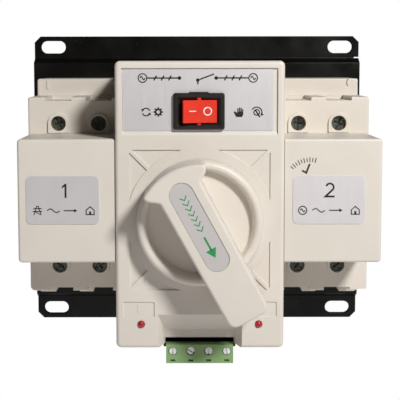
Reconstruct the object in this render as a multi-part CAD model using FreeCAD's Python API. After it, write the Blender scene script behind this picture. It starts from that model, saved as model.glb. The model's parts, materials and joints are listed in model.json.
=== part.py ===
import FreeCAD, Part
import math
import os

# Two-supply transfer switch on a wall plate, in millimetres.
# X is right, Y is into the wall and Z is up. The origin is the middle of the four fixing
# slots, on the plate's rear face. Depths are measured forwards from the wall, so depth = -Y.

# Base plate
PLATE_WIDTH = 164.0
PLATE_HEIGHT = 144.8
PLATE_THICK = 1.5
PLATE_CORNER = 3.0
BEND_RELIEF = 0.6
PLATE_FRONT = 5.0
WEB_HALF = 59.0
JOGGLE_HALF = 61.3
SLOT_SPACING_X = 145.0
SLOT_SPACING_Z = 134.0
SLOT_LENGTH = 12.4
SLOT_WIDTH = 6.2

# Breaker units, one at each side: the outer side and the side next to the centre box
UNIT_OUT = 76.0
UNIT_IN = 35.4
BASE_FRONT = 32.0
BASE_TOP = 51.5
BASE_BOTTOM = -51.0
SHOULDER_FRONT = 58.5
SHOULDER_HALF = 43.8
UNIT_WALL = 2.2
POLE_X = (44.5, 62.5)
TERMINAL_Z = 32.1
SCREW_HOLE_R = 3.35
SCREW_HEAD_R = 3.25
SCREW_SHANK_R = 2.0
NOTCH_HALF = 5.8
NOTCH_DEPTH = 1.6
BASE_NOTCH_DEPTH = 2.6
ENTRY_BACK = 37.0
ENTRY_FRONT = 45.5
ENTRY_HALF = 4.4

# Side covers over the breaker toggles
SIDE_FRONT = 89.8
SIDE_OUT = 75.5
SIDE_IN = 35.1
SIDE_TOP = 27.7
SIDE_BOTTOM = -24.0
SIDE_WALL = 2.0

# Centre box
BOX_HALF = 34.9
BOX_FRONT = 91.5
BOX_SPLIT = 44.0
BOX_TOP = 59.8
BOX_BOTTOM = -59.8
BOX_WALL = 2.2
BOX_EDGE = 2.2
POST_X = 28.4
POST_Z = 52.6
POST_R = 3.6
BOARD_BACK = 61.8
SCOOP_TOP = -45.5
SCOOP_KNEE = -54.0
SCOOP_BACK = 84.0
SCOOP_WALL_BOTTOM = -57.4
SCOOP_HALF_FRONT = 17.5
SCOOP_HALF_BACK = 14.6
SCOOP_WALL = 2.0

# Label recess and rocker switch on the upper panel
RECESS_HALF = 32.0
RECESS_TOP = 56.8
RECESS_BOTTOM = 30.9
RECESS_DEPTH = 0.8
LABEL_THICK = 0.25
ROCKER_X = -0.35
ROCKER_Z = 39.2
BEZEL_WIDTH = 21.0
BEZEL_HEIGHT = 15.0
BEZEL_FRONT = 93.1
ROCKER_TILT = 12.0
ROCKER_PIVOT = 92.0

# Rotary handle
KNOB_Z = -6.0
KNOB_R = 25.7
KNOB_BACK = 92.0
KNOB_CREST = 100.0
KNOB_FLOOR = 95.5
BAR_FRONT = 113.0
BAR_REACH = 41.1
HANDLE_ANGLE = 28.7
SHAFT_R = 4.0

# Drive: a gear on the handle's shaft moves two racks, each of which throws one toggle
MODULE = 1.0
GEAR_TEETH = 28
PINION_TEETH = 16
TOOTH_GAP = 0.12
PRESSURE_ANGLE = math.radians(20.0)
GEAR_BACK = 70.0
GEAR_FRONT = 75.0
MECH_BACK = 66.0
MECH_FRONT = 68.0
TOGGLE_DEPTH = 54.0
TOGGLE_SWING = 26.0
TIE_RADIUS = 16.0
TIE_ROD_R = 2.0
HUB_R = 4.2
PIN_R = 1.5
RUNNING = 0.05
GEAR_R = MODULE * GEAR_TEETH / 2
PINION_R = MODULE * PINION_TEETH / 2
PINION_Z = KNOB_Z + GEAR_R + PINION_R
RACK_HALF_TRAVEL = TIE_RADIUS * math.sin(math.radians(TOGGLE_SWING))

# Control board, its header and the plug below the box
BOARD_FRONT = 63.4
HEADER_FRONT = 75.0
HEADER_BOTTOM = -62.2
HEADER_HALF = 15.4
PLUG_HALF = 14.2
PLUG_FRONT = 86.0
PLUG_TOP = -60.0
PLUG_BOTTOM = -68.0
PLUG_PITCH = 7.62
PLUG_SCREW_Z = -62.9
LED_X = 24.45
LED_Z = -49.6
LED_R = 1.5

# Details: base plate and its screws
PLATE_SCREW_R = 1.95
PLATE_SCREW_HEAD_R = 3.4
PLATE_SCREWS = [(sx * x, sz * 46.6) for x in (44.5, 66.5, 20.0) for sx in (-1, 1) for sz in (-1, 1)]

# Details: breaker units, drawn on the right-hand side
BASE_FLOOR = 7.4
BASE_CAVITY_HALF = 41.4
SCREW_BOSS_R = 4.2
PAD_R = 4.6
PAD_RISE = 0.9
COLLAR_R = 4.4
COLLAR_RISE = 0.5
TUBE_R = 4.6
TUBE_BACK = 47.0
TOGGLE_OPENING_HALF = 8.6
TOGGLE_OPENING_IN = 40.3
TOGGLE_OPENING_OUT = 66.7
PIVOT_RIB_BACK = 47.0
PIVOT_RIB_HALF = 6.0
PIVOT_RIBS = ((38.0, 40.2), (66.8, 69.0))
HEAD_BACK = 53.0
HEAD_FRONT = 57.3
SHANK_BACK = 38.4
DRIVE_DEPTH = 1.0
CAGE_BACK = 35.0
CAGE_FRONT = 46.4
CAGE_WALL = 1.2
CAGE_HALF = 4.6
CAGE_REACH = 4.5
BAR_HALF = 2.6
BAR_BACK = 36.4
BAR_FACE = 37.7
ARM_REACH = 24.0
ARM_THICK = 2.0
CONTACT_GAP = 0.3
CONTACT_R = 1.5
LEVER_HALF = 3.5
LEVER_REACH = 18.5
TIE_IN = 36.7
TIE_OUT = 66.0
SIDE_LABEL_Z = (-7.7, 12.35)
SIDE_LABEL_CORNER = 2.2
LEFT_LABEL_X = (-71.9, -41.7)
RIGHT_LABEL_X = (38.55, 68.5)

# Details: centre box
COVER_SCREW_R = 1.4
COVER_SCREW_HEAD_R = 2.6
COVER_SCREW_SEAT = 8.0
CORNER_X = 29.0
CORNER_TOP = 23.3
CORNER_BOTTOM = -35.2
CORNER_REACH = 20.0
CORNER_ARC_R = 30.2
CORNER_RIDGE = 0.75
CORNER_DEPTH = 0.55
MARKER_X = (18.9, 31.9)
MARKER_Z = (-46.5, -40.2)
MARKER_DEPTH = 0.4
MECH_POSTS = [(sx * 28.3, z) for sx in (-1, 1) for z in (-20.5, 40.0)]
MECH_POST_R = 3.0
MECH_SCREW_R = 1.25
MECH_SCREW_DEPTH = 76.0
SWITCH_HOLE_X = 9.5
SWITCH_HOLE_Z = 6.5
BUSH_R = 5.5
BUSH_FLANGE_R = 7.5
BUSH_BACK = 86.0
PANEL_LABEL_RIGHT = 30.2

# Details: rocker switch
OPENING_HALF_X = 7.55
OPENING_HALF_Z = 4.8
ROCKER_HALF_X = 7.0
ROCKER_HALF_Z = 4.6
BEZEL_BACK = BOX_FRONT - RECESS_DEPTH + LABEL_THICK
SWITCH_BACK = 78.0
ROCKER_PIN_R = 1.0
BEZEL_CATCH_HALF = 3.9

# Details: handle: drawn with its tip pointing down, then turned
FLARE = [(16.6, 9.15), (18.8, 12.4), (21.4, 14.4)]
TIP_HALF = 8.6
BAR_UNDER = 96.0
BAR_CORNER = 3.6
BAR_EDGE = 1.2
HANDLE_LABEL_LENGTH = 38.6
HANDLE_LABEL_WIDTH = 9.9
HANDLE_LABEL_OFFSET = 1.2
HANDLE_LABEL_DEPTH = 0.5
HANDLE_SCREW_R = 1.5
HANDLE_SCREW_HEAD_R = 3.0
HANDLE_SCREW_SEAT = 105.5
SHAFT_FRONT = 103.0

# Details: gears and racks
MOTOR_SHAFT_R = 2.0
RACK_OUT = 19.5
RACK_LOW = -33.0
RACK_HIGH = 20.0
FORK_IN = 36.4
FORK_OUT = 40.2
FORK_BACK = 63.4
FORK_FRONT = 75.6
FORK_HALF = 6.0
FORK_CLEAR = 0.3
GUIDE_IN = 19.8
GUIDE_OUT = 23.6
GUIDE_SPANS = ((-25.0, -14.4), (14.4, 25.0))

# Details: control board, header and plug
HEADER_WALL = 1.1
HEADER_LIP_FRONT = 81.4
HEADER_LIP_TOP = -59.95
PLUG_STEP = -62.7
TONGUE_TOP = -52.0
TONGUE_BACK = 65.2
TONGUE_FRONT = 73.2
TONGUE_HALF = 13.8
PLUG_HOLE_R = 1.8
PLUG_HEAD_R = 1.58
PLUG_ENTRY_HALF = 1.9


def vector(x, depth, z):
    """Point from a depth in front of the wall."""
    return FreeCAD.Vector(x, -depth, z)


def block(x0, x1, d0, d1, z0, z1):
    """Box between two depths."""
    return Part.makeBox(x1 - x0, d1 - d0, z1 - z0, vector(x0, d1, z0))


def rod(x, z, r, d0, d1):
    """Cylinder that points away from the wall."""
    return Part.makeCylinder(r, d1 - d0, vector(x, d0, z), FreeCAD.Vector(0, -1, 0))


def rod_x(x0, x1, depth, z, r):
    """Cylinder along X."""
    return Part.makeCylinder(r, x1 - x0, vector(x0, depth, z), FreeCAD.Vector(1, 0, 0))


def rod_z(x, depth, r, z0, z1):
    """Cylinder along Z."""
    return Part.makeCylinder(r, z1 - z0, vector(x, depth, z0), FreeCAD.Vector(0, 0, 1))


def prism(points, d0, d1):
    """Outline of (x, z) points carried from one depth to another."""
    corners = [vector(x, d0, z) for x, z in points]
    face = Part.Face(Part.makePolygon(corners + corners[:1]))
    return face.extrude(FreeCAD.Vector(0, d0 - d1, 0))


def prism_x(points, x0, x1):
    """Outline of (depth, z) points carried along X."""
    corners = [vector(x0, d, z) for d, z in points]
    face = Part.Face(Part.makePolygon(corners + corners[:1]))
    return face.extrude(FreeCAD.Vector(x1 - x0, 0, 0))


def prism_z(points, z0, z1):
    """Outline of (x, depth) points carried along Z."""
    corners = [vector(x, d, z0) for x, d in points]
    face = Part.Face(Part.makePolygon(corners + corners[:1]))
    return face.extrude(FreeCAD.Vector(0, 0, z1 - z0))


def fuse(shapes):
    """One solid from touching shapes, without seams between flush faces."""
    return shapes[0].multiFuse(shapes[1:]).removeSplitter()


def cut(shape, tools):
    """Shape less the tools."""
    return shape.cut(Part.makeCompound(tools)) if tools else shape


def group(shapes):
    """Separate solids in one node."""
    return Part.makeCompound(shapes)


def mirrored(shape):
    """The same shape on the other side of the centre plane."""
    return shape.mirror(FreeCAD.Vector(0, 0, 0), FreeCAD.Vector(1, 0, 0))


def edges_along_y(shape):
    """Straight edges that run front to back."""
    chosen = []
    for edge in shape.Edges:
        ends = [v.Point for v in edge.Vertexes]
        if len(ends) == 2 and abs(abs(ends[0].y - ends[1].y) - edge.Length) < 1e-6:
            chosen.append(edge)
    return chosen


def edges_at_depth(shape, depth):
    """Edges that lie wholly at one depth."""
    return [e for e in shape.Edges if all(abs(v.Point.y + depth) < 1e-6 for v in e.Vertexes)]


def soft_block(x0, x1, d0, d1, z0, z1, corner, edge):
    """Moulded box: rounded corners in front view and a rounded front edge."""
    solid = block(x0, x1, d0, d1, z0, z1)
    solid = solid.makeFillet(corner, edges_along_y(solid))
    return solid.makeFillet(edge, edges_at_depth(solid, d1))


def stadium(length, width, d0, d1):
    """Slot-shaped plate about the origin, long along X."""
    reach = (length - width) / 2
    middle = block(-reach, reach, d0, d1, -width / 2, width / 2)
    ends = [rod(s * reach, 0, width / 2, d0, d1) for s in (-1, 1)]
    return fuse([middle] + ends)


def moved(shape, x, z):
    """Copy of a shape moved across the front view."""
    copy = shape.copy()
    copy.translate(FreeCAD.Vector(x, 0, z))
    return copy


def turned(shape, x, z, degrees):
    """Copy of a shape turned about a front-to-back axis; positive is clockwise in front view."""
    copy = shape.copy()
    copy.rotate(vector(x, 0, z), FreeCAD.Vector(0, 1, 0), degrees)
    return copy


# Base plate and its screws

def base_plate():
    """Pressed steel plate: a raised web between two flanges that lie on the wall."""
    half = PLATE_HEIGHT / 2
    t = PLATE_THICK
    step = PLATE_FRONT - t
    outline = [(0, half), (t, half), (t, JOGGLE_HALF), (t + step, WEB_HALF)]
    outline += [(d, -z) for d, z in reversed(outline)]
    outline += [(0, -JOGGLE_HALF), (step, -WEB_HALF), (step, WEB_HALF), (0, JOGGLE_HALF)]
    plate = prism_x(outline, -PLATE_WIDTH / 2, PLATE_WIDTH / 2)
    slot = stadium(SLOT_LENGTH, SLOT_WIDTH, -1, PLATE_FRONT)
    cuts = []
    for sx in (-1, 1):
        for sz in (-1, 1):
            cuts.append(moved(slot, sx * SLOT_SPACING_X / 2, sz * SLOT_SPACING_Z / 2))
            x = sx * PLATE_WIDTH / 2
            z = sz * half
            corner = [(x, z), (x - sx * PLATE_CORNER, z), (x, z - sz * PLATE_CORNER)]
            cuts.append(prism(corner, -1, PLATE_FRONT))
    cuts += [rod(x, z, PLATE_SCREW_R, 0, PLATE_FRONT + 1) for x, z in PLATE_SCREWS]
    cuts.append(block(PLATE_WIDTH / 2 - 2.4, PLATE_WIDTH / 2 + 1, -1, PLATE_FRONT + 1,
                      JOGGLE_HALF, JOGGLE_HALF + BEND_RELIEF))
    return cut(plate, cuts)


def base_plate_screws():
    """Pan-head screws from behind the plate into the breaker bases and the centre box."""
    screws = []
    for x, z in PLATE_SCREWS:
        head = rod(x, z, PLATE_SCREW_HEAD_R, 1.3, PLATE_FRONT - PLATE_THICK)
        shank = rod(x, z, PLATE_SCREW_R, PLATE_FRONT - PLATE_THICK, 12.0)
        slot = block(x - 2.4, x + 2.4, 1.2, 2.0, z - 0.4, z + 0.4)
        screws.append(fuse([head, shank]).cut(slot))
    return group(screws)


# Breaker units, drawn on the right-hand side


def breaker_base():
    """Rear housing of a breaker: a deep tub with solid ends that take the fixing screws."""
    shell = soft_block(UNIT_IN, UNIT_OUT, PLATE_FRONT, BASE_FRONT, BASE_BOTTOM, BASE_TOP, 0.9, 0.7)
    cavity = block(UNIT_IN + UNIT_WALL, UNIT_OUT - UNIT_WALL, BASE_FLOOR, BASE_FRONT + 1,
                   -BASE_CAVITY_HALF, BASE_CAVITY_HALF)
    partition_x = sum(POLE_X) / 2
    partition = block(partition_x - 0.8, partition_x + 0.8, BASE_FLOOR, BASE_FRONT - 2,
                      -BASE_CAVITY_HALF, BASE_CAVITY_HALF)
    cuts = [rod(x, z, PLATE_SCREW_R, PLATE_FRONT - 1, 12.0) for x, z in PLATE_SCREWS if x > UNIT_IN]
    cuts += [block(x - NOTCH_HALF, x + NOTCH_HALF, PLATE_FRONT - 1, BASE_FRONT + 1,
                   BASE_BOTTOM - 1, BASE_BOTTOM + BASE_NOTCH_DEPTH) for x in POLE_X]
    return cut(fuse([cut(shell, [cavity]), partition]), cuts)


def breaker_cover():
    """Front housing of a breaker, with screw wells, wire entries and the toggle opening."""
    half = SHOULDER_HALF
    shell = soft_block(UNIT_IN, UNIT_OUT, BASE_FRONT, SHOULDER_FRONT, -half, half, 0.9, 0.8)
    face_back = SHOULDER_FRONT - UNIT_WALL
    cavity = block(UNIT_IN + UNIT_WALL, UNIT_OUT - UNIT_WALL, BASE_FRONT - 1, face_back,
                   UNIT_WALL * 2 - half, half - UNIT_WALL * 2)
    body = cut(shell, [cavity])
    added = []
    cuts = [block(TOGGLE_OPENING_IN, TOGGLE_OPENING_OUT, face_back - 1, SHOULDER_FRONT + 1,
                  -TOGGLE_OPENING_HALF, TOGGLE_OPENING_HALF)]
    for x in POLE_X:
        for side in (-1, 1):
            z = side * TERMINAL_Z
            added.append(rod(x, z, TUBE_R, TUBE_BACK, face_back))
            cuts.append(rod(x, z, SCREW_HOLE_R, TUBE_BACK - 1, SHOULDER_FRONT + 2))
            edge = sorted((side * (half - NOTCH_DEPTH), side * (half + 1)))
            cuts.append(block(x - NOTCH_HALF, x + NOTCH_HALF, ENTRY_BACK - 2, SHOULDER_FRONT + 1, *edge))
            mouth = sorted((side * (half - UNIT_WALL * 2 - 1), side * (half + 1)))
            cuts.append(block(x - ENTRY_HALF, x + ENTRY_HALF, ENTRY_BACK, ENTRY_FRONT, *mouth))
        pad = rod(x, TERMINAL_Z, PAD_R, SHOULDER_FRONT - 0.5, SHOULDER_FRONT + PAD_RISE)
        strip = block(x - PAD_R, x + PAD_R, SHOULDER_FRONT - 0.5, SHOULDER_FRONT + PAD_RISE,
                      SIDE_TOP + 0.2, TERMINAL_Z)
        collar = rod(x, -TERMINAL_Z, COLLAR_R, SHOULDER_FRONT - 0.5, SHOULDER_FRONT + COLLAR_RISE)
        below_cover = block(x - PAD_R, x + PAD_R, SHOULDER_FRONT, SHOULDER_FRONT + 2,
                            SIDE_BOTTOM - 0.2, SIDE_BOTTOM + 3)
        above_cover = block(x - PAD_R, x + PAD_R, SHOULDER_FRONT, SHOULDER_FRONT + 2,
                            SIDE_TOP - 3, SIDE_TOP + 0.2)
        added += [fuse([pad, strip]).cut(above_cover), collar.cut(below_cover)]
    for x0, x1 in PIVOT_RIBS:
        added.append(block(x0, x1, PIVOT_RIB_BACK, face_back, -PIVOT_RIB_HALF, PIVOT_RIB_HALF))
    cuts.append(rod_x(PIVOT_RIBS[0][0] - 1, PIVOT_RIBS[1][1] + 1, TOGGLE_DEPTH, 0, PIN_R))
    return cut(fuse([body] + added), cuts)


def terminal_screws():
    """Four clamp screws with a combined slot and cross drive, sunk in their wells."""
    screws = []
    for x in POLE_X:
        for z in (-TERMINAL_Z, TERMINAL_Z):
            head = rod(x, z, SCREW_HEAD_R, HEAD_BACK, HEAD_FRONT)
            shank = rod(x, z, SCREW_SHANK_R, SHANK_BACK, HEAD_BACK)
            slot = block(x - 4, x + 4, HEAD_FRONT - DRIVE_DEPTH, HEAD_FRONT + 1, z - 0.5, z + 0.5)
            cross = block(x - 0.55, x + 0.55, HEAD_FRONT - DRIVE_DEPTH * 1.6, HEAD_FRONT + 1,
                          z - 2.0, z + 2.0)
            screws.append(turned(fuse([head, shank]).cut(group([slot, cross])), x, z, 20 + x + z))
    return group(screws)


def terminal_clamps():
    """Four steel clamp cages, open at both ends for the wire and the copper bar."""
    cages = []
    for x in POLE_X:
        for z in (-TERMINAL_Z, TERMINAL_Z):
            outer = block(x - CAGE_HALF, x + CAGE_HALF, CAGE_BACK, CAGE_FRONT,
                          z - CAGE_REACH, z + CAGE_REACH)
            inner = block(x - CAGE_HALF + CAGE_WALL, x + CAGE_HALF - CAGE_WALL,
                          CAGE_BACK + CAGE_WALL, CAGE_FRONT - CAGE_WALL,
                          z - CAGE_REACH - 1, z + CAGE_REACH + 1)
            cages.append(cut(outer, [inner, rod(x, z, SCREW_SHANK_R, 40, CAGE_FRONT + 1)]))
    return group(cages)


def contact_centre():
    """Depth and height of a fixed contact, just clear of the closed contact arm."""
    swing = math.radians(TOGGLE_SWING)
    along = ARM_REACH - 2.0
    off = ARM_THICK / 2 + CONTACT_GAP + CONTACT_R
    depth = TOGGLE_DEPTH - along * math.cos(swing) + off * math.sin(swing)
    return depth, -along * math.sin(swing) - off * math.cos(swing)


def busbars():
    """Copper bars: the lower pair carries the fixed contacts, the upper pair feeds the coils."""
    bars = []
    depth, height = contact_centre()
    for x in POLE_X:
        bar = block(x - BAR_HALF, x + BAR_HALF, BAR_BACK, BAR_FACE, -TERMINAL_Z - 3.5, height)
        pad = rod_x(x - BAR_HALF, x + BAR_HALF, depth, height, CONTACT_R)
        bars.append(fuse([bar, pad]))
        upright = block(x - BAR_HALF, x + BAR_HALF, BAR_BACK, BAR_FACE, 20.5, TERMINAL_Z + 3.5)
        foot = block(x - BAR_HALF, x + BAR_HALF, 28.6, BAR_FACE, 19.2, 20.5)
        bars.append(fuse([upright, foot]))
    return group(bars)


def trip_coils():
    """Magnetic trip coil of each pole, a short copper winding on a steel core."""
    coils = []
    for x in POLE_X:
        turns = [rod_z(x, 21.5, 6.2, z, z + 1.7) for z in (10.0, 12.6, 15.2, 17.8)]
        coils.append(fuse(turns + [rod_z(x, 21.5, 4.4, 8.6, 20.8)]))
    return group(coils)


def arc_chutes():
    """Stack of steel splitter plates below each fixed contact."""
    plates = []
    for x in POLE_X:
        for step in range(6):
            depth = 10.0 + 3.0 * step
            plates.append(block(x - 6.2, x + 6.2, depth, depth + 1.0, -28.0, -14.5))
    return group(plates)


def at_toggle_angle(shape, raised):
    """Turn a part of the toggle about its pivot, up when raised and down when not."""
    copy = shape.copy()
    angle = -TOGGLE_SWING if raised else TOGGLE_SWING
    copy.rotate(vector(0, TOGGLE_DEPTH, 0), FreeCAD.Vector(1, 0, 0), angle)
    return copy


def toggle(raised):
    """Moulded two-pole toggle: one hub and two levers, bored for the pin and the tie rod."""
    hub = rod_x(POLE_X[0] - LEVER_HALF, POLE_X[1] + LEVER_HALF, TOGGLE_DEPTH, 0, HUB_R)
    tip = TOGGLE_DEPTH + LEVER_REACH
    outline = [(TOGGLE_DEPTH, -3.4), (tip - 1.0, -2.9), (tip, -1.9), (tip, 1.9), (tip - 1.0, 2.9),
               (TOGGLE_DEPTH, 3.4)]
    levers = [prism_x(outline, x - LEVER_HALF, x + LEVER_HALF) for x in POLE_X]
    bore = rod_x(0, UNIT_OUT, TOGGLE_DEPTH, 0, PIN_R + RUNNING)
    tie_hole = rod_x(0, UNIT_OUT, TOGGLE_DEPTH + TIE_RADIUS, 0, TIE_ROD_R)
    return at_toggle_angle(cut(fuse([hub] + levers), [bore, tie_hole]), raised)


def tie_rod(raised):
    """Steel rod through both levers; its inner end sits in the rack's fork."""
    return at_toggle_angle(rod_x(TIE_IN, TIE_OUT, TOGGLE_DEPTH + TIE_RADIUS, 0, TIE_ROD_R), raised)


def contact_arms(raised):
    """Copper contact arm of each pole, clamped round the toggle's hub."""
    arms = []
    for x in POLE_X:
        ring = rod_x(x - 2.4, x + 2.4, TOGGLE_DEPTH, 0, HUB_R + 1.2)
        lever_gap = block(x - 3, x + 3, TOGGLE_DEPTH, TOGGLE_DEPTH + 9, -9, 9)
        half_ring = ring.cut(lever_gap)
        strip = block(x - 2.4, x + 2.4, TOGGLE_DEPTH - ARM_REACH, TOGGLE_DEPTH - HUB_R,
                      -ARM_THICK / 2, ARM_THICK / 2)
        hub = rod_x(x - 3, x + 3, TOGGLE_DEPTH, 0, HUB_R)
        arms.append(fuse([half_ring, strip]).cut(hub))
    return at_toggle_angle(group(arms), raised)


def toggle_pin():
    """Steel pin that carries the toggle between the two ribs of the breaker cover."""
    return rod_x(PIVOT_RIBS[0][0], PIVOT_RIBS[1][1], TOGGLE_DEPTH, 0, PIN_R)


def side_cover():
    """Box over a breaker's toggle, open at the back and towards the centre box."""
    shell = block(SIDE_IN, SIDE_OUT, SHOULDER_FRONT, SIDE_FRONT, SIDE_BOTTOM, SIDE_TOP)
    outer_corners = [e for e in edges_along_y(shell) if e.Vertexes[0].X > SIDE_OUT - 1]
    shell = shell.makeFillet(1.6, outer_corners)
    front = edges_at_depth(shell, SIDE_FRONT)
    shell = shell.makeFillet(1.1, [e for e in front if max(v.X for v in e.Vertexes) > SIDE_IN + 1])
    cavity = block(SIDE_IN - 1, SIDE_OUT - SIDE_WALL, SHOULDER_FRONT - 1, SIDE_FRONT - SIDE_WALL,
                   SIDE_BOTTOM + SIDE_WALL, SIDE_TOP - SIDE_WALL)
    return shell.cut(cavity)


def label_plate(x0, x1, z0, z1, depth, corner):
    """Thin label with rounded corners, lying on the face at a depth."""
    plate = block(x0, x1, depth, depth + LABEL_THICK, z0, z1)
    return plate.makeFillet(corner, edges_along_y(plate))


def base_mark(side, base):
    """Small mark on the upper end of a base: a rib on the left one, a bowed slit on the right one."""
    d0 = BASE_FRONT - 0.9
    if side == "left":
        return base.fuse(block(-71.6, -70.4, d0, BASE_FRONT + 0.25, 46.8, 51.0)).removeSplitter()
    bow = rod(72.4, 49.6, 2.1, d0, BASE_FRONT + 1).cut(rod(73.0, 49.6, 2.15, d0 - 1, BASE_FRONT + 2))
    return base.cut(bow.common(block(70, 71.3, d0, BASE_FRONT + 1, 47.9, 51.3)))


def left_only(cover):
    """Chamfer on the lower outer corner of the left-hand unit."""
    x = -UNIT_OUT
    z = -SHOULDER_HALF
    return cover.cut(prism([(x - 1, z - 1), (x + 2.6, z - 1), (x - 1, z + 2.6)], BASE_FRONT - 1, 62))


def right_only(cover):
    """Shallow step on the lower outer corner of the right-hand unit."""
    step = block(UNIT_OUT - 4.2, UNIT_OUT + 1, BASE_FRONT - 1, 62, -SHOULDER_HALF - 1, -SHOULDER_HALF + 0.8)
    return cover.cut(step)


# Centre box

def box_posts(d0, d1, r):
    """Four round posts near the corners of the centre box, or their holes."""
    return [rod(sx * POST_X, sz * POST_Z, r, d0, d1) for sx in (-1, 1) for sz in (-1, 1)]


def post_webs(d0, d1):
    """Web from each corner post to the side wall of the centre box."""
    webs = []
    for sx in (-1, 1):
        x0, x1 = sorted((sx * POST_X, sx * (BOX_HALF - BOX_WALL / 2)))
        webs += [block(x0, x1, d0, d1, z - POST_R / 2, z + POST_R / 2) for z in (-POST_Z, POST_Z)]
    return webs


def central_base():
    """Rear tub of the centre box, with corner posts that the cover screws run through."""
    shell = soft_block(-BOX_HALF, BOX_HALF, PLATE_FRONT, BOX_SPLIT, BOX_BOTTOM, BOX_TOP, BOX_EDGE, 0.2)
    floor = PLATE_FRONT + BOX_WALL
    cavity = block(-BOX_HALF + BOX_WALL, BOX_HALF - BOX_WALL, floor, BOX_SPLIT + 1,
                   BOX_BOTTOM + BOX_WALL, BOX_TOP - BOX_WALL)
    inner = [(x, z) for x, z in PLATE_SCREWS if abs(x) < UNIT_IN]
    bosses = [rod(x, z, SCREW_BOSS_R, floor - 0.5, 13.0) for x, z in inner]
    holes = [rod(x, z, PLATE_SCREW_R, PLATE_FRONT - 1, 12.0) for x, z in inner]
    holes += box_posts(PLATE_FRONT - 1, BOX_SPLIT + 1, COVER_SCREW_R)
    holes += box_posts(PLATE_FRONT - 1, COVER_SCREW_SEAT, COVER_SCREW_HEAD_R)
    posts = box_posts(floor - 0.5, BOX_SPLIT, POST_R) + post_webs(floor - 0.5, BOX_SPLIT)
    return cut(fuse([cut(shell, [cavity])] + posts + bosses), holes)


def scoop(wall):
    """Space between the box's two feet, grown by a wall: sloping roof, upright back, splayed sides."""
    slope = (SCOOP_TOP - SCOOP_KNEE) / (BOX_FRONT - SCOOP_BACK)
    rise = wall * math.hypot(1, slope)
    front = BOX_FRONT + 1
    back = SCOOP_BACK - wall
    roof = [(front, BOX_BOTTOM - 3), (front, SCOOP_TOP + slope + rise),
            (back, SCOOP_KNEE - slope * wall + rise), (back, BOX_BOTTOM - 3)]
    splay = (SCOOP_HALF_FRONT - SCOOP_HALF_BACK) / (BOX_FRONT - SCOOP_BACK)
    wide = SCOOP_HALF_FRONT + splay + wall
    narrow = SCOOP_HALF_BACK - splay * wall + wall
    sides = [(-wide, front), (wide, front), (narrow, back), (-narrow, back)]
    return prism_x(roof, -wide, wide).common(prism_z(sides, BOX_BOTTOM - 3, 0))


def corner_recesses():
    """Shallow ornamental recesses round the handle, each corner split by a diagonal ridge."""
    d0 = BOX_FRONT - CORNER_DEPTH
    d1 = BOX_FRONT + 1
    arc = rod(0, KNOB_Z, CORNER_ARC_R, d0 - 1, d1 + 1)
    shapes = []
    for sx in (-1, 1):
        for z, sz in ((CORNER_TOP, 1), (CORNER_BOTTOM, -1)):
            x = sx * CORNER_X
            gap = CORNER_RIDGE * math.sqrt(2)
            level = [(x - sx * gap, z), (x - sx * (CORNER_REACH + 1), z),
                     (x - sx * (CORNER_REACH + 1), z - sz * (CORNER_REACH + 1 - gap))]
            upright = [(x, z - sz * gap), (x, z - sz * (CORNER_REACH + 1)),
                       (x - sx * (CORNER_REACH + 1 - gap), z - sz * (CORNER_REACH + 1))]
            shapes += [prism(level, d0, d1).cut(arc), prism(upright, d0, d1).cut(arc)]
    return shapes


def marker_recesses():
    """Two small sunk rectangles above the lamps."""
    shapes = []
    for sx in (-1, 1):
        x0, x1 = sorted((sx * MARKER_X[0], sx * MARKER_X[1]))
        plate = block(x0, x1, BOX_FRONT - MARKER_DEPTH, BOX_FRONT + 1, *MARKER_Z)
        shapes.append(plate.makeFillet(0.5, edges_along_y(plate)))
    return shapes


def label_recess():
    """Recess for the panel label; its lower wall slopes."""
    floor = BOX_FRONT - RECESS_DEPTH
    outline = [(floor, RECESS_TOP), (BOX_FRONT + 1, RECESS_TOP), (BOX_FRONT + 1, RECESS_BOTTOM - 2.3),
               (BOX_FRONT, RECESS_BOTTOM - 1.5), (floor, RECESS_BOTTOM)]
    return prism_x(outline, -RECESS_HALF, RECESS_HALF)


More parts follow.
